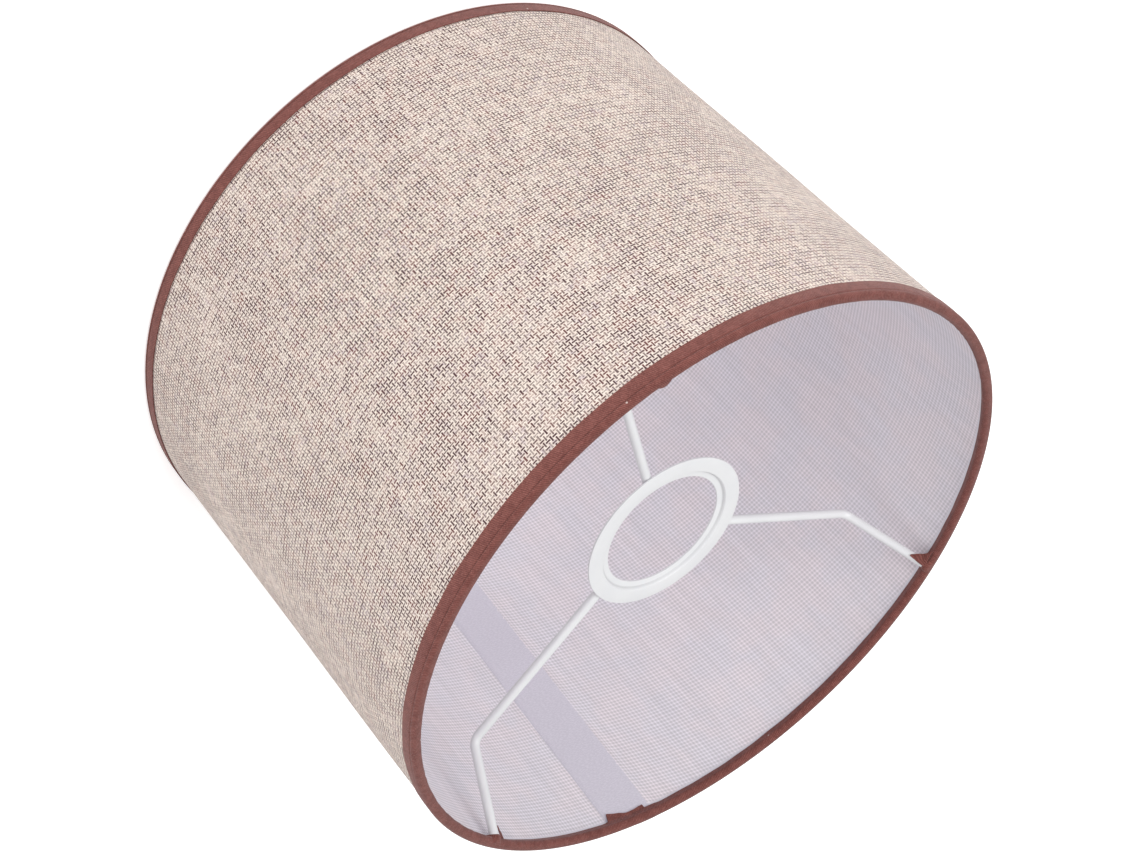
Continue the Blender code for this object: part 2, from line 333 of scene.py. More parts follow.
def outer_fabric(material):
    """Woven cover: a rolled sheet whose folded outer end stops at the seam."""
    azimuths = cover_azimuths()
    heights = spread(SHEET_EDGE, SHADE_HEIGHT - SHEET_EDGE, ROW_STEP)
    rows = []
    for azimuth in azimuths:
        bulge = hem_bulge(azimuth)
        to_end = min(azimuth - azimuths[0], azimuths[-1] - azimuth)
        round_off = END_ROUNDING * (1 - smooth(to_end / 0.2))
        outer = []
        inner = []
        for z in heights:
            leaning = azimuth + seam_shift(z)
            swell = wall_swell(leaning, z)
            outer.append(around(COVER_RADIUS + bulge + swell - round_off, leaning, z))
            inner.append(around(COVER_RADIUS - COVER_THICKNESS + min(swell, 0), leaning, z))
        rows.append(outer + inner[::-1])
    mesh = grid_mesh("woven_cover", rows, wrap_columns=True)
    return add_piece("woven_cover", mesh, material, ["outer_fabric"])


def tab_start_azimuth():
    """Free edge of the liner's tab."""
    return SEAM_AZIMUTH - degrees_along(LAP_WIDTH, TAB_RADIUS)


def liner_panel(material):
    """Stiff liner with a bare tab that steps in under its other end."""
    tab_start = tab_start_azimuth()
    ramp_end = SEAM_AZIMUTH + degrees_along(LAP_RAMP, LINER_RADIUS)
    sheet_end = SEAM_AZIMUTH + 360 - degrees_along(SEAM_GAP, LINER_RADIUS) / 2
    azimuths = spread(tab_start, SEAM_AZIMUTH, 0.2)
    azimuths += spread(SEAM_AZIMUTH, ramp_end, 0.15)[1:]
    azimuths += spread(ramp_end, sheet_end, 0.75)[1:]
    rows = []
    for azimuth in azimuths:
        ramp = smooth((azimuth - SEAM_AZIMUTH) / (ramp_end - SEAM_AZIMUTH))
        outside = TAB_RADIUS + (LINER_RADIUS - TAB_RADIUS) * ramp
        edge = TAB_EDGE + (SHEET_EDGE - TAB_EDGE) * smooth((azimuth - ramp_end) / 0.6)
        span = SHADE_HEIGHT - 2 * edge
        heights = [edge + span * i / LINER_SPANS for i in range(LINER_SPANS + 1)]
        pressed = TAB_PRESS * smooth((tab_start + TAB_PRESS_ANGLE - azimuth) / TAB_PRESS_ANGLE)
        thinned = TAB_BEVEL * smooth((tab_start + TAB_BEVEL_ANGLE - azimuth) / TAB_BEVEL_ANGLE)
        outer = []
        inner = []
        for z in heights:
            leaning = azimuth + seam_shift(z)
            swell = min(wall_swell(leaning, z), 0)
            outer.append(around(outside + swell + pressed, leaning, z))
            face = outside - LINER_THICKNESS + swell + pressed + thinned
            inner.append(around(face, leaning, z))
        rows.append(outer + inner[::-1])
    mesh = grid_mesh("liner_sheet", rows, wrap_columns=True)
    return add_piece("liner_sheet", mesh, material, ["liner_panel"])


def seam_film(material):
    """Double-sided film in the lap, which follows the leaning seam."""
    margin = degrees_along(FILM_MARGIN)
    low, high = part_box("seam_adhesive")[0].z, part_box("seam_adhesive")[1].z
    inside = TAB_RADIUS + LAYER_GAP
    rows = []
    for azimuth in spread(tab_start_azimuth() + margin, SEAM_AZIMUTH - margin, 0.4):
        outer = []
        inner = []
        for z in spread(low, high, ROW_STEP):
            leaning = azimuth + seam_shift(z)
            swell = min(wall_swell(leaning, z), 0)
            outer.append(around(inside + ADHESIVE_THICKNESS + swell, leaning, z))
            inner.append(around(inside + swell, leaning, z))
        rows.append(outer + inner[::-1])
    mesh = grid_mesh("seam_film", rows, wrap_columns=True)
    return add_piece("seam_film", mesh, material, ["seam_adhesive"])


# Tape: a strip folded over each rim. Its section runs from the free edge of the outer band,
# over the rim and round the ring, to its tucked edge. Depths are measured from the rim.


def along_edge(edge, part):
    """Point at a share of the way along an edge, on a smooth curve through its key points."""
    spans = len(edge) - 1
    index = min(int(part * spans), spans - 1)
    t = part * spans - index
    keys = [Vector(edge[min(max(index + k, 0), spans)]) for k in (-1, 0, 1, 2)]
    pull_in = (keys[2] - keys[0]) / 2
    pull_out = (keys[3] - keys[1]) / 2
    start = keys[1] * (2 * t**3 - 3 * t**2 + 1) + pull_in * (t**3 - 2 * t**2 + t)
    return start + keys[2] * (3 * t**2 - 2 * t**3) + pull_out * (t**3 - t**2)


def over_arm(azimuth):
    """1 over the middle of an arm, falling in a round hump to 0 beside it."""
    gap = min(abs(angle_between(azimuth, arm)) for arm in ARM_AZIMUTHS)
    share = gap / degrees_along(ARM_WIRE / 2 + 2 * TAPE_THICKNESS)
    return math.sqrt(max(0.0, 1 - share * share))


def on_tab(azimuth):
    """1 where the liner's tab lies under the tape, falling to 0 just past it on both sides."""
    edge_margin, ramp_margin = 0.9, 0.4
    edge_fade, ramp_fade = 0.6, 2.0
    rise = azimuth - (SEAM_AZIMUTH - degrees_along(LAP_WIDTH) - edge_margin)
    fall = SEAM_AZIMUTH + degrees_along(LAP_RAMP) + ramp_margin - azimuth
    return min(smooth(rise / edge_fade), smooth(fall / ramp_fade))


def outer_band(azimuth, seed, hem, ripple):
    """Flat outer band, from its free edge up to where the tape starts to turn over."""
    steps = 26
    stray = EDGE_WANDER * wobble(azimuth, 0.0, EDGE_WANDER_SIZE, seed + 9)
    edge = SHADE_HEIGHT - BAND_EDGE + stray
    fold = ROLL_RADIUS + 0.1 * MM
    points = []
    for i in range(steps + 1):
        depth = edge + (fold - edge) * i / steps
        puff = BAND_PUFF * math.sin(math.pi * i / steps) + BAND_RIPPLE * ripple * (i > 0)
        groove = CREASE_GROOVE * math.exp(-(((depth - CREASE_DEPTH) / CREASE_WIDTH) ** 2))
        points.append((SHADE_RADIUS + hem + puff - groove - BAND_INSET, depth))
    return points


def outer_turn(hem):
    """Quarter turn from the outer band to the top of the rim."""
    steps = 10
    points = []
    for i in range(steps + 1):
        turn = math.radians(90 * i / steps)
        sag = TURN_SAG * math.sin(2 * turn) + hem * math.cos(turn)
        across = SHADE_RADIUS - ROLL_RADIUS + ROLL_RADIUS * math.cos(turn) + sag
        points.append((across, ROLL_RADIUS * (1 - math.sin(turn))))
    return points


def inner_turn(ripple, fine):
    """Turn from the top of the rim, down and back round the ring."""
    steps = 12
    centre = SHADE_RADIUS - ROLL_RADIUS - CROWN_WIDTH
    lip = ROLL_RADIUS + LIP_RIPPLE * ripple + LIP_FINE * fine
    points = []
    for i in range(steps + 1):
        turn = math.radians(90 + (90 + TUCK_ANGLE) * i / steps)
        reach = lip + TUCK_FINE * fine * max(0.0, -math.cos(turn))
        depth = ROLL_RADIUS - ROLL_RADIUS * math.sin(turn)
        points.append((centre + reach * math.cos(turn), depth))
    return points


def tucked_edge(start, leaned, ripple):
    """Straight run from the end of the inner turn to the edge tucked against the liner."""
    last_across, last_depth = start
    end_across = LINER_INSIDE - 2 * LAYER_GAP - TAPE_THICKNESS - TAB_ROOM * on_tab(leaned)
    end_depth = 2 * ROLL_RADIUS + TUCK_REACH + TUCK_RIPPLE * ripple
    points = []
    for i in range(1, TUCK_STEPS + 1):
        part = i / TUCK_STEPS
        across = last_across + (end_across - last_across) * part
        points.append((across, last_depth + (end_depth - last_depth) * part))
    return points


def laid_over_arm(line, share):
    """The tape's inner line, moved by a share of the way to its path over the end of an arm."""
    moved = []
    for i, (across, depth) in enumerate(line):
        over = along_edge(OVER_ARM, i / (len(line) - 1)) * MM
        moved.append((across + (over.x - across) * share, depth + (over.y - depth) * share))
    return moved


def tape_section(azimuth, at_fitter_end):
    """Outer line of the tape's cross-section, as (radius, depth) points."""
    seed = 20 if at_fitter_end else 40
    leaned = azimuth - seam_shift(SHADE_HEIGHT if at_fitter_end else 0.0)
    hem = hem_bulge(leaned)
    ripple = wobble(azimuth, 0.0, RIPPLE_SIZE, seed)
    fine = wobble(azimuth, 0.0, FINE_SIZE, seed + 5)
    outside = outer_band(azimuth, seed, hem, ripple) + outer_turn(hem)
    inside = inner_turn(ripple, fine)
    inside += tucked_edge(inside[-1], leaned, ripple)
    if at_fitter_end:
        inside = laid_over_arm(inside, over_arm(azimuth))
    return outside + inside


def inwards(section):
    """The same line moved in by the tape's thickness, square to itself."""
    moved = []
    for i, (across, depth) in enumerate(section):
        before = section[max(i - 1, 0)]
        after = section[min(i + 1, len(section) - 1)]
        run = Vector((after[0] - before[0], after[1] - before[1])).normalized()
        moved.append((across + run.y * TAPE_THICKNESS, depth - run.x * TAPE_THICKNESS))
    return moved


def tape_azimuths(at_fitter_end):
    """Every half degree, and closer beside the arms."""
    fine = set()
    if at_fitter_end:
        for arm in ARM_AZIMUTHS:
            fine.update(round((arm + 0.1 * i) % 360, 3) for i in range(-32, 33))
    coarse = {round(0.5 * i, 3) for i in range(720)}
    return sorted(fine | coarse)


def rim_trim(name, node, at_fitter_end, material):
    """The tape round one rim."""
    rows = []
    for azimuth in tape_azimuths(at_fitter_end):
        section = tape_section(azimuth, at_fitter_end)
        row = []
        for across, depth in section + inwards(section)[::-1]:
            height = SHADE_HEIGHT - depth if at_fitter_end else depth
            row.append(around(across, azimuth, height))
        rows.append(row)
    mesh = grid_mesh(name, rows, wrap_rows=True, wrap_columns=True)
    return add_piece(name, mesh, material, [node], flat_angle=60)


def loose_face(edges, seed):
    """Lines of points between two edges, waved a little and frayed along the second."""
    steps = 24
    across_steps = 10
    lines = []
    for i in range(steps + 1):
        first = along_edge(edges[0], i / steps)
        second = along_edge(edges[1], i / steps)
        line = []
        for j in range(across_steps + 1):
            azimuth, radius, depth = first.lerp(second, j / across_steps)
            wave = 0.12 * wobble(azimuth, depth * MM, 2.5 * MM, seed) * j / across_steps
            fray = 0.10 * wobble(azimuth, 0.0, 0.7 * MM, seed + 3) * (j == across_steps)
            line.append(around((radius + wave) * MM, azimuth, SHADE_HEIGHT - (depth + fray) * MM))
        lines.append(line)
    return lines


def loose_end(name, edges, material, seed):
    """A cut end of tape: a thin patch between two edges, thickened away from the axis."""
    lines = loose_face(edges, seed)
    rows = []
    for i, line in enumerate(lines):
        before = lines[max(i - 1, 0)]
        after = lines[min(i + 1, len(lines) - 1)]
        back = []
        for j, point in enumerate(line):
            run = after[j] - before[j]
            rise = line[min(j + 1, len(line) - 1)] - line[max(j - 1, 0)]
            normal = run.cross(rise).normalized()
            if normal.dot(Vector((point.x, point.y, 0))) < 0:
                normal = -normal
            back.append(point + normal * TAPE_THICKNESS)
        rows.append(line + back[::-1])
    mesh = grid_mesh(name, rows, wrap_columns=True)
    return add_piece(name, mesh, material)


def rounded_profile(corners, radius, steps=4):
    """Closed (radius, height) outline with each corner cut by a small arc."""
    outline = []
    count = len(corners)
    for i, (x, z) in enumerate(corners):
        corner = Vector((x, z))
        before = (Vector(corners[i - 1]) - corner).normalized()
        after = (Vector(corners[(i + 1) % count]) - corner).normalized()
        start = corner + before * radius
        end = corner + after * radius
        for k in range(steps + 1):
            t = k / steps
            point = (1 - t) ** 2 * start + 2 * t * (1 - t) * corner + t**2 * end
            outline.append((point.x, point.y))
    return outline


def fitter_washer(material):
    """Pressed ring: flat flange, rolled step and a lower lip round the hole."""
    lip_top = WASHER_FOOT + WASHER_THICKNESS
    flange_edge = WASHER_RADIUS - FLANGE_WIDTH
    lip_edge = flange_edge - STEP_RUN
    upper = [
        (WASHER_RADIUS, WASHER_TOP),
        (flange_edge, WASHER_TOP),
        (lip_edge, lip_top),
        (HOLE_RADIUS, lip_top),
    ]
    lower = [(r, z - WASHER_THICKNESS) for r, z in reversed(upper)]
    outline = rounded_profile(upper + lower, 0.2 * MM)
    rows = [[around(r, azimuth, z) for r, z in outline] for azimuth in range(0, 360, 2)]
    mesh = grid_mesh("washer", rows, wrap_rows=True, wrap_columns=True)
    return add_piece("washer", mesh, material, ["fitter_washer"], flat_angle=50)


def arm_centreline():
    """Centre line of an arm in the XZ plane, from under the flange to the ring."""
    arm_height = WASHER_TOP - WASHER_THICKNESS - LAYER_GAP - ARM_WIRE / 2
    bend = Vector((RING_RADIUS - ARM_RISE_RUN, 0, arm_height))
    rise = Vector((ARM_RISE_RUN, 0, RING_HEIGHT - arm_height))
    lean = math.asin(ARM_INSET / rise.length)
    rising = (Matrix.Rotation(-lean, 3, "Y") @ rise).normalized()
    along = (Vector((RING_RADIUS, 0, RING_HEIGHT)) - bend).dot(rising)
    end = bend + rising * (along - RING_WIRE / 2 - LAYER_GAP)
    turn = math.atan2(rising.z, rising.x)
    arc_start = bend - Vector((ARM_BEND_RADIUS * math.tan(turn / 2), 0, 0))
    start = Vector((WASHER_RADIUS - FLANGE_WIDTH + WELD_MARGIN, 0, arm_height))
    points = [start.lerp(arc_start, i / ARM_STRAIGHT_STEPS) for i in range(ARM_STRAIGHT_STEPS)]
    bend_steps = 14
    for i in range(bend_steps + 1):
        angle = turn * i / bend_steps
        across = ARM_BEND_RADIUS * math.sin(angle)
        up = ARM_BEND_RADIUS * (1 - math.cos(angle))
        points.append(arc_start + Vector((across, 0, up)))
    rise_steps = 8
    points += [points[-1].lerp(end, i / rise_steps) for i in range(1, rise_steps + 1)]
    return points


def arm_place(azimuth, skew, end):
    """Matrix that turns an arm to its azimuth, and by its skew about its outer end."""
    there = Matrix.Translation(end)
    turn = Matrix.Rotation(math.radians(skew), 4, "Z")
    return Matrix.Rotation(math.radians(azimuth), 4, "Z") @ there @ turn @ there.inverted()


def spider_arm(number, azimuth, skew, material):
    """Bent wire, pressed a little flat where it is welded under the flange."""
    centres = arm_centreline()
    place = arm_place(azimuth, skew, centres[-1])
    sides = 20
    rows = []
    for i, centre in enumerate(centres):
        before = centres[max(i - 1, 0)]
        after = centres[min(i + 1, len(centres) - 1)]
        run = (after - before).normalized()
        side = Vector((0, 1, 0))
        up = side.cross(run)
        press = WELD_PRESS * smooth(1 - (centre.x - centres[0].x) / WELD_LENGTH)
        ring = []
        for k in range(sides):
            turn = 2 * math.pi * k / sides
            across = ARM_WIRE / 2 * (1 + press) * math.cos(turn)
            rise = ARM_WIRE / 2 * (1 - press) * math.sin(turn)
            ring.append(place @ (centre + side * across + up * rise))
        rows.append(ring)
    name = f"arm_{number}"
    mesh = grid_mesh(name, rows, wrap_columns=True)
    return add_piece(name, mesh, material, [f"spider_arm_{number}"])


# ---------------------------------------------------------------- materials


class Nodes:
    """Short calls for the nodes of one material. Each returns an output socket."""

    def __init__(self, name):
        self.material = bpy.data.materials.new(name)
        self.material.use_nodes = True
        self.tree = self.material.node_tree
        self.shader = self.tree.nodes["Principled BSDF"]

    def put(self, socket, value):
        if isinstance(value, bpy.types.NodeSocket):
            self.tree.links.new(value, socket)
        else:
            socket.default_value = value

    def math(self, operation, first, second=0.0):
        node = self.tree.nodes.new("ShaderNodeMath")
        node.operation = operation
        self.put(node.inputs[0], first)
        self.put(node.inputs[1], second)
        return node.outputs[0]

    def add(self, first, second):
        return self.math("ADD", first, second)

    def subtract(self, first, second):
        return self.math("SUBTRACT", first, second)

    def times(self, first, second):
        return self.math("MULTIPLY", first, second)

    def step(self, value, low, high, out_low=0.0, out_high=1.0):
        """Smooth step of value from low to high."""
        node = self.tree.nodes.new("ShaderNodeMapRange")
        node.interpolation_type = "SMOOTHSTEP"
        for key, given in (
            ("Value", value),
            ("From Min", low),
            ("From Max", high),
            ("To Min", out_low),
            ("To Max", out_high),
        ):
            self.put(node.inputs[key], given)
        return node.outputs[0]

    def vector(self, x, y, z=0.0):
        node = self.tree.nodes.new("ShaderNodeCombineXYZ")
        for socket, value in zip(node.inputs, (x, y, z)):
            self.put(socket, value)
        return node.outputs[0]

    def noise(self, place, scale=1.0, detail=2.0, roughness=0.5):
        node = self.tree.nodes.new("ShaderNodeTexNoise")
        self.put(node.inputs["Vector"], place)
        node.inputs["Scale"].default_value = scale
        node.inputs["Detail"].default_value = detail
        node.inputs["Roughness"].default_value = roughness
        return node.outputs["Fac"]

    def random(self, place):
        """A separate random number for each value of place."""
        node = self.tree.nodes.new("ShaderNodeTexWhiteNoise")
        node.noise_dimensions = "3D"
        self.put(node.inputs["Vector"], place)
        return node.outputs["Value"]

    def mix(self, factor, first, second):
        node = self.tree.nodes.new("ShaderNodeMix")
        node.data_type = "RGBA"
        self.put(node.inputs[0], factor)
        for socket, value in zip((node.inputs[6], node.inputs[7]), (first, second)):
            if not isinstance(value, bpy.types.NodeSocket):
                value = (*value, 1.0)
            self.put(socket, value)
        return node.outputs[2]

    def moved(self, vector, offset):
        node = self.tree.nodes.new("ShaderNodeVectorMath")
        node.operation = "ADD"
        self.put(node.inputs[0], vector)
        node.inputs[1].default_value = offset
        return node.outputs[0]

    def scaled(self, vector, factor):
        """Multiply a vector or a colour by a number."""
        node = self.tree.nodes.new("ShaderNodeVectorMath")
        node.operation = "SCALE"
        self.put(node.inputs[0], vector)
        self.put(node.inputs["Scale"], factor)
        return node.outputs[0]

    def point(self):
        """Object coordinates, in metres."""
        return self.tree.nodes.new("ShaderNodeTexCoord").outputs["Object"]

    def parts(self, vector):
        """The x, y and z of a vector."""
        node = self.tree.nodes.new("ShaderNodeSeparateXYZ")
        self.put(node.inputs[0], vector)
        return node.outputs

    def from_axis(self, point):
        """Distance of a point from the shade's axis."""
        x, y, _ = self.parts(point)
        return self.math("SQRT", self.add(self.times(x, x), self.times(y, y)))

    def from_rim(self, height):
        """Distance from the nearer rim."""
        return self.math("MINIMUM", height, self.subtract(SHADE_HEIGHT, height))

    def unrolled(self, radius):
        """Distance round the wall from the leaning seam, the same without the lean, and height."""
        x, y, z = self.parts(self.point())
        lean = math.radians(SEAM_LEAN) / SHADE_HEIGHT
        shift = self.times(self.subtract(STRAIGHT_HEIGHT, z), lean)
        seam = self.add(shift, math.radians(SEAM_AZIMUTH))
        turn = self.subtract(self.math("ARCTAN2", y, x), seam)
        past_seam = self.math("FLOORED_MODULO", turn, 2 * math.pi)
        return self.times(past_seam, radius), self.times(self.add(past_seam, shift), radius), z

    def bump(self, height, distance, strength=1.0):
        node = self.tree.nodes.new("ShaderNodeBump")
        node.inputs["Strength"].default_value = strength
        node.inputs["Distance"].default_value = distance
        self.put(node.inputs["Height"], height)
        self.tree.links.new(node.outputs[0], self.shader.inputs["Normal"])

    def finish(self, colour, roughness, **values):
        self.put(self.shader.inputs["Base Color"], colour)
        self.put(self.shader.inputs["Roughness"], roughness)
        for name, value in values.items():
            self.shader.inputs[name.replace("_", " ")].default_value = value
        return self.material


def weave_coordinates(n, wander):
    """Warp and weft coordinates, in cells, with the yarns' wander, and as a vector without it.

    The weft climbs away from the seam, because the sheet was rolled askew.
    """
    length = 2 * math.pi * COVER_RADIUS
    _, along, height = n.unrolled(COVER_RADIUS)
    share = n.math("MINIMUM", n.times(along, 1 / length), 0.5)
    climb = n.times(n.times(share, n.subtract(1.0, share)), length * WEFT_SLOPE)
    across = n.times(along, 1 / WARP_PITCH)
    up = n.times(n.subtract(height, climb), 1 / WEFT_PITCH)
    plain = n.vector(across, up)
    stray_across = n.noise(n.vector(n.times(across, 0.5), n.times(up, 0.06)))
    stray_up = n.noise(n.vector(n.times(across, 0.06), n.times(up, 0.5), 9.0))
    across = n.add(across, n.times(n.subtract(stray_across, 0.5), wander))
    up = n.add(up, n.times(n.subtract(stray_up, 0.5), wander))
    return across, up, plain


def tent(n, value, centre, half_width, softness):
    """1 inside a band round centre and 0 outside it, with soft sides."""
    gap = n.math("ABSOLUTE", n.subtract(value, centre))
    return n.step(gap, half_width + softness, half_width - softness)


class Weave:
    """Where a place lies in the weave, in cells. A cell has a warp or a weft float on top.

    A phase runs from 0 to 2 along a yarn, and the yarn is on top from 0 to 1.
    """

    def __init__(self, n):
        self.across, self.up, self.plain = weave_coordinates(n, COVER_WANDER)
        self.column = n.math("FLOOR", self.across)
        self.row = n.math("FLOOR", self.up)
        self.in_column = n.math("FRACT", self.across)
        self.in_row = n.math("FRACT", self.up)
        self.warp_phase = n.math("FLOORED_MODULO", n.add(self.up, self.column), 2.0)
        along_row = n.add(n.add(self.across, self.row), 1.0)
        self.weft_phase = n.math("FLOORED_MODULO", along_row, 2.0)
        self.on_warp = n.math("LESS_THAN", self.warp_phase, 1.0)
        self.on_weft = n.subtract(1.0, self.on_warp)


def float_reach(n, phase):
    """Distance, in cells, from the middle of the nearest float along a yarn."""
    ahead = n.math("ABSOLUTE", n.subtract(phase, 0.5))
    return n.math("MINIMUM", ahead, n.subtract(2.5, phase))


def dark_yarn(n, in_cell, phase, dye, half_width):
    """Thin dark yarn in the middle of a pair. It shows along each float and a little past it."""
    line = tent(n, in_cell, 0.5, half_width, DARK_SOFTNESS)
    shown = n.step(float_reach(n, phase), FLOAT_END[1], FLOAT_END[0])
    force = n.step(dye, *DYE_RANGE, DYE_WEAKEST, 1.0)
    return n.times(n.times(line, shown), force)


def dark_share(n, weave):
    """How dark a place is. The yarns are dyed in lengths, so each one comes and goes."""
    each = n.random(n.vector(weave.column, weave.row, 2.0))
    patches = n.noise(n.scaled(weave.plain, 0.05), detail=3.0, roughness=0.6)
    base = n.add(n.times(each, 0.34), n.times(patches, 0.50))
    warp_place = n.vector(n.times(weave.column, 7.31), n.times(weave.up, 0.15))
    weft_place = n.vector(n.times(weave.across, 0.13), n.times(weave.row, 5.77), 4.0)
    warp_dye = n.add(n.noise(warp_place, detail=3.0, roughness=0.65), base)
    weft_dye = n.add(n.noise(weft_place, detail=3.0, roughness=0.65), base)
    warp = dark_yarn(n, weave.in_column, weave.warp_phase, warp_dye, DARK_WARP)
    weft = dark_yarn(n, weave.in_row, weave.weft_phase, weft_dye, DARK_WEFT)
    return n.math("MAXIMUM", warp, weft)


def yarn_crest(n, weave):
    """Roundness of the cream yarns, two to a cell: 0 at their sides and ends, 1 on top. It sets
    the bump and a painted shade and highlight.
    """
    warp_side = tent(n, n.math("FRACT", n.times(weave.across, 2.0)), 0.5, 0.25, 0.25)
    weft_side = tent(n, n.math("FRACT", n.times(weave.up, 2.0)), 0.5, 0.25, 0.25)
    warp_end = tent(n, weave.in_row, 0.5, 0.32, 0.18)
    weft_end = tent(n, weave.in_column, 0.5, 0.32, 0.18)
    warp = n.times(n.times(warp_side, weave.on_warp), warp_end)
    weft = n.times(n.times(weft_side, weave.on_weft), weft_end)
    return n.add(warp, weft)


def cream_colour(n, weave):
    """Cream yarns with a tint of their own, which drift to lavender and to grey-green."""
    warp_yarn = n.math("FLOOR", n.times(weave.across, 2.0))
    weft_yarn = n.math("FLOOR", n.times(weave.up, 2.0))
    warp_place = n.vector(n.times(warp_yarn, 3.17), n.times(weave.up, 0.36), 21.0)
    weft_place = n.vector(n.times(weave.across, 0.36), n.times(weft_yarn, 4.39), 31.0)
    warp_tint = n.times(n.noise(warp_place, detail=3.0), weave.on_warp)
    weft_tint = n.times(n.noise(weft_place, detail=3.0), weave.on_weft)
    tint = n.add(warp_tint, weft_tint)
    drift_place = n.moved(n.scaled(weave.plain, 0.22), (40.0, 3.0, 0.0))
    drift = n.noise(drift_place, detail=4.0, roughness=0.75)
    cool = n.add(n.times(tint, 0.6), n.times(drift, 0.4))
    cream = n.mix(n.step(tint, 0.36, 0.62), CREAM, CREAM_DEEP)
    cream = n.mix(n.times(n.step(cool, 0.50, 0.62), 0.60), cream, LAVENDER)
    return n.mix(n.times(n.step(drift, 0.44, 0.30), 0.35), cream, GREY_GREEN)


def woven_cover_material():
    """Hopsack weave: in a chequer of cells, each shows a pair of warp or of weft yarns on top."""
    n = Nodes("woven_cover")
    weave = Weave(n)
    dark = dark_share(n, weave)
    crest = yarn_crest(n, weave)
    # painted shade darkens the cream at the yarns' sides and ends, and a painted highlight
    # lightens their tops
    cream = n.scaled(cream_colour(n, weave), n.step(crest, 0.0, 1.0, *CREST_PAINTED_SHADES))
    hue = n.noise(n.moved(n.scaled(weave.plain, 0.3), (7.0, 70.0, 0.0)))
    dark_colour = n.mix(n.step(hue, 0.46, 0.62), DARK_MAUVE, DARK_RED)
    colour = n.mix(dark, cream, dark_colour)
    fibres = n.noise(n.point(), scale=7000.0, detail=1.0)
    colour = n.scaled(colour, n.step(fibres, 0.2, 0.8, 0.90, 1.10))
    relief = n.subtract(crest, n.times(dark, 0.8))
    relief = n.add(relief, n.times(fibres, 0.25))
    n.bump(relief, distance=0.16 * MM, strength=0.7)
    return n.finish(colour, 0.92, Specular_IOR_Level=0.25, Sheen_Weight=0.12, Sheen_Roughness=0.5)


def bare_tab(n, past_seam, height):
    """1 on the liner's bare tab and 0 past the ragged cut edge beside it."""
    length = 2 * math.pi * LINER_INSIDE
    width = LAP_WIDTH + SEAM_GAP
    ragged = n.noise(n.vector(n.times(height, 700.0), 3.0), detail=3.0)
    nick = n.times(n.step(ragged, 0.50, 0.72), CUT_NICKS)
    past_tab = n.math("FLOORED_MODULO", n.add(past_seam, width), length)
    past_cut = n.subtract(n.add(past_tab, nick), width)
    return n.step(past_cut, CUT_SOFTNESS, -CUT_SOFTNESS)


def liner_material():
    """White sheet. The weave glued to its back shows through as a fine crosshatch."""
    n = Nodes("liner_sheet")
    across, up, plain = weave_coordinates(n, LINER_WANDER)
    past_seam, along, height = n.unrolled(LINER_INSIDE)
    warp_line = tent(n, n.math("FRACT", across), 0.5, 0.20, 0.20)
    weft_line = tent(n, n.math("FRACT", up), 0.5, 0.20, 0.20)
    grid = n.add(n.times(warp_line, 0.5), n.times(weft_line, 0.5))
    bare = bare_tab(n, past_seam, height)
    backed = n.step(n.from_rim(height), *SHOWS_THROUGH)
    woven = n.times(backed, n.subtract(1.0, bare))

    patches = n.noise(n.scaled(plain, 0.07), detail=4.0, roughness=0.6)
    streaks = n.noise(n.vector(n.times(across, 0.5), n.times(up, 0.04), 5.0))
    colour = n.mix(n.step(patches, 0.36, 0.64), LINER_COOL, LINER_PINK)
    colour = n.scaled(colour, n.step(streaks, 0.3, 0.7, 0.965, 1.03))
    lit = n.times(n.subtract(grid, 0.45), 0.44)
    colour = n.scaled(colour, n.add(1.0, n.times(lit, woven)))
    colour = n.mix(n.subtract(1.0, backed), colour, LINER_EDGE)

    flecks = n.noise(n.vector(n.times(along, 900.0), n.times(height, 2600.0)), detail=3.0)
    tab = n.mix(n.step(flecks, 0.42, 0.62), LINER_TAB, LINER_TAB_PALE)
    colour = n.mix(bare, colour, tab)
    n.bump(n.times(grid, woven), distance=0.05 * MM, strength=0.5)
    return n.finish(colour, 0.62, Specular_IOR_Level=0.35)


def tape_rib(n, point):
    """Fine ribs across the tape, as a wave from -1 to 1."""
    _, along, height = n.unrolled(SHADE_RADIUS)
    down = n.subtract(height, n.from_axis(point))
    stray = n.times(n.noise(point, scale=500.0, detail=1.0), 0.5 * MM)
    ribs = n.times(n.add(n.add(along, n.times(down, 0.45)), stray), 1 / TAPE_RIB)
    return n.math("SINE", n.times(ribs, 2 * math.pi))


def tape_crease_shade(n, point):
    """Mask of the painted shade: 1 along the faint crease in the tape's outer face and 0
    elsewhere.
    """
    _, _, height = n.parts(point)
    crease_shade = tent(n, n.from_rim(height), CREASE_DEPTH, 0.12 * MM, 0.3 * MM)
    outside = n.math("GREATER_THAN", n.from_axis(point), RING_RADIUS + RING_WIRE / 2)
    return n.times(crease_shade, outside)


def tape_material():
    """Matte cotton tape with fine ribs across its width, a few flecks of lint and painted shade
    along its crease.
    """
    n = Nodes("rim_tape")
    point = n.point()
    rib = tape_rib(n, point)
    grain = n.noise(point, scale=2300.0, detail=2.0, roughness=0.6)
    mottle = n.noise(point, scale=420.0, detail=4.0, roughness=0.65)
    tone = n.add(n.times(mottle, 0.6), n.times(grain, 0.4))
    colour = n.mix(n.step(tone, 0.38, 0.62), TAPE_DARK, TAPE)
    colour = n.mix(n.times(n.step(grain, 0.56, 0.72), 0.55), colour, TAPE_PALE)
    colour = n.scaled(colour, n.step(rib, -1.0, 1.0, 0.80, 1.20))
    # painted shade along the crease in the tape's outer face
    colour = n.scaled(colour, n.subtract(1.0, n.times(tape_crease_shade(n, point), 0.30)))
    lint = n.noise(point, scale=380.0, detail=1.0)
    colour = n.mix(n.step(lint, 0.80, 0.84), colour, TAPE_LINT)
    relief = n.add(n.times(rib, 0.5), n.times(grain, 0.9))
    n.bump(relief, distance=0.10 * MM, strength=0.9)
    return n.finish(colour, 0.9, Specular_IOR_Level=0.12, Sheen_Weight=0.2, Sheen_Roughness=0.4)


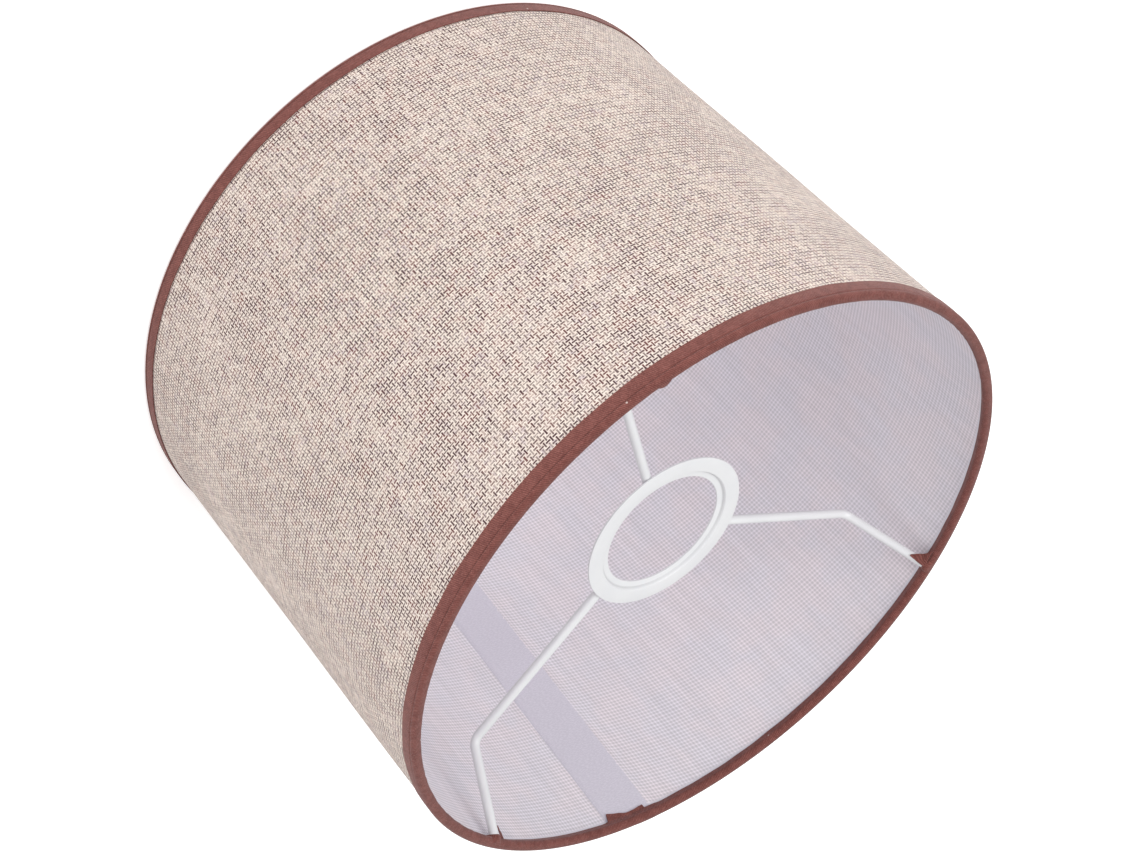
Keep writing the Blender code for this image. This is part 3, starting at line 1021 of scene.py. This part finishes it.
def coat_material():
    """White powder coat with a faint orange peel, and painted shade where the washer's lip meets
    its step.
    """
    n = Nodes("white_coat")
    point = n.point()
    peel = n.noise(point, scale=1500.0)
    wide = n.noise(point, scale=90.0)
    # painted shade in the crease where the lip meets the step
    crease_shade = tent(n, n.from_axis(point), HOLE_RADIUS + LIP_WIDTH, 0.25 * MM, 0.25 * MM)
    colour = n.mix(n.step(wide, 0.3, 0.7), COAT, COAT_DULL)
    colour = n.scaled(colour, n.step(crease_shade, 0.0, 1.0, 1.0, 0.84))
    n.bump(peel, distance=0.02 * MM, strength=0.35)
    return n.finish(colour, n.step(wide, 0.2, 0.8, 0.30, 0.42), Specular_IOR_Level=0.5)


def wire_material():
    """Drawn steel with fine lengthwise marks, hidden in the tape."""
    n = Nodes("ring_wire")
    x, y, z = n.parts(n.point())
    marks = n.noise(n.vector(x, y, n.times(z, 30.0)), scale=800.0, detail=3.0)
    n.bump(marks, distance=0.02 * MM, strength=0.4)
    colour = n.mix(marks, STEEL_DARK, STEEL_PALE)
    return n.finish(colour, n.step(marks, 0.3, 0.7, 0.32, 0.5), Metallic=1.0)


def adhesive_material():
    """Thin cloudy double-sided film, hidden in the lap."""
    n = Nodes("adhesive")
    cloud = n.noise(n.point(), scale=300.0, detail=3.0)
    n.bump(cloud, distance=0.02 * MM, strength=0.3)
    return n.finish(n.mix(cloud, FILM, FILM_PALE), n.step(cloud, 0.3, 0.7, 0.4, 0.6))


def floor_material():
    """Pale matte floor, which glows a little, so that the background stays white."""
    n = Nodes("studio_floor")
    soft = n.noise(n.point(), scale=3.0, detail=1.0)
    material = n.finish(n.mix(soft, FLOOR, FLOOR_PALE), 0.9, Specular_IOR_Level=0.0)
    n.shader.inputs["Emission Color"].default_value = (1, 1, 1, 1)
    n.shader.inputs["Emission Strength"].default_value = FLOOR_GLOW
    return material


# ---------------------------------------------------------------- studio


def add_floor():
    """Pale plane just under the shade."""
    lines = [FLOOR_SIZE * (i / FLOOR_SPANS - 0.5) for i in range(FLOOR_SPANS + 1)]
    rows = [[Vector((x, y, -FLOOR_GAP)) for y in lines] for x in lines]
    mesh = grid_mesh("floor", rows)
    mesh.materials.append(floor_material())
    floor = bpy.data.objects.new("floor", mesh)
    bpy.context.scene.collection.objects.link(floor)


def add_light(name, azimuth, elevation, distance, size, power):
    """Square soft light aimed at the middle of the shade."""
    data = bpy.data.lights.new(name, "AREA")
    data.size = size
    data.energy = power
    light = bpy.data.objects.new(name, data)
    target = Vector((0, 0, SHADE_HEIGHT / 2))
    tilt = math.radians(elevation)
    offset = around(distance * math.cos(tilt), azimuth, distance * math.sin(tilt))
    light.location = target + offset
    light.rotation_euler = offset.to_track_quat("Z", "Y").to_euler()
    bpy.context.scene.collection.objects.link(light)


def add_world():
    """Even white light from all round."""
    world = bpy.data.worlds.new("studio")
    world.use_nodes = True
    background = world.node_tree.nodes["Background"]
    background.inputs["Color"].default_value = (1, 1, 1, 1)
    background.inputs["Strength"].default_value = SKY_STRENGTH
    bpy.context.scene.world = world


def add_camera():
    """Looks down into the fitter end, with the picture rolled as in the photograph."""
    pitch = math.radians(CAMERA_PITCH)
    roll = math.radians(CAMERA_ROLL)
    forward = Vector((0, math.cos(pitch), -math.sin(pitch)))
    level_up = Vector((0, math.sin(pitch), math.cos(pitch)))
    right = Vector((math.cos(roll), 0, 0)) + level_up * math.sin(roll)
    up = right.cross(forward)
    data = bpy.data.cameras.new("camera")
    data.lens = FOCAL_LENGTH
    data.sensor_width = SENSOR_WIDTH
    data.sensor_fit = "HORIZONTAL"
    data.clip_start = 0.01
    camera = bpy.data.objects.new("camera", data)
    turn = Matrix((right, up, -forward)).transposed().to_4x4()
    camera.matrix_world = Matrix.Translation(CAMERA_PLACE) @ turn
    bpy.context.scene.collection.objects.link(camera)
    bpy.context.scene.camera = camera


def build():
    """The studio, then every piece."""
    add_camera()
    add_world()
    add_floor()
    add_light("key", azimuth=225, elevation=52, distance=1.6, size=1.1, power=14.5)
    add_light("fill", azimuth=320, elevation=35, distance=1.8, size=1.4, power=6)
    cover = outer_fabric(woven_cover_material())
    liner_panel(liner_material())
    tape = tape_material()
    fitter_trim = rim_trim("fitter_rim_tape", "fitter_end_trim", True, tape)
    plain_trim = rim_trim("plain_rim_tape", "plain_end_trim", False, tape)
    ends = [
        loose_end("tape_tail", TAIL_EDGES, tape, 60),
        loose_end("tape_tongue", TONGUE_EDGES, tape, 64),
        loose_end("tape_sliver", SLIVER_EDGES, tape, 72),
    ]
    coat = coat_material()
    fitter_washer(coat)
    for number, (azimuth, skew) in enumerate(zip(ARM_AZIMUTHS, ARM_SKEWS), start=1):
        spider_arm(number, azimuth, skew, coat)
    wire = wire_material()
    for node in ("fitter_end_ring", "plain_end_ring"):
        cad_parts[node].material_slots[0].material = wire
    seam_film(adhesive_material())

    bpy.context.scene.view_settings.view_transform = "Standard"


build()
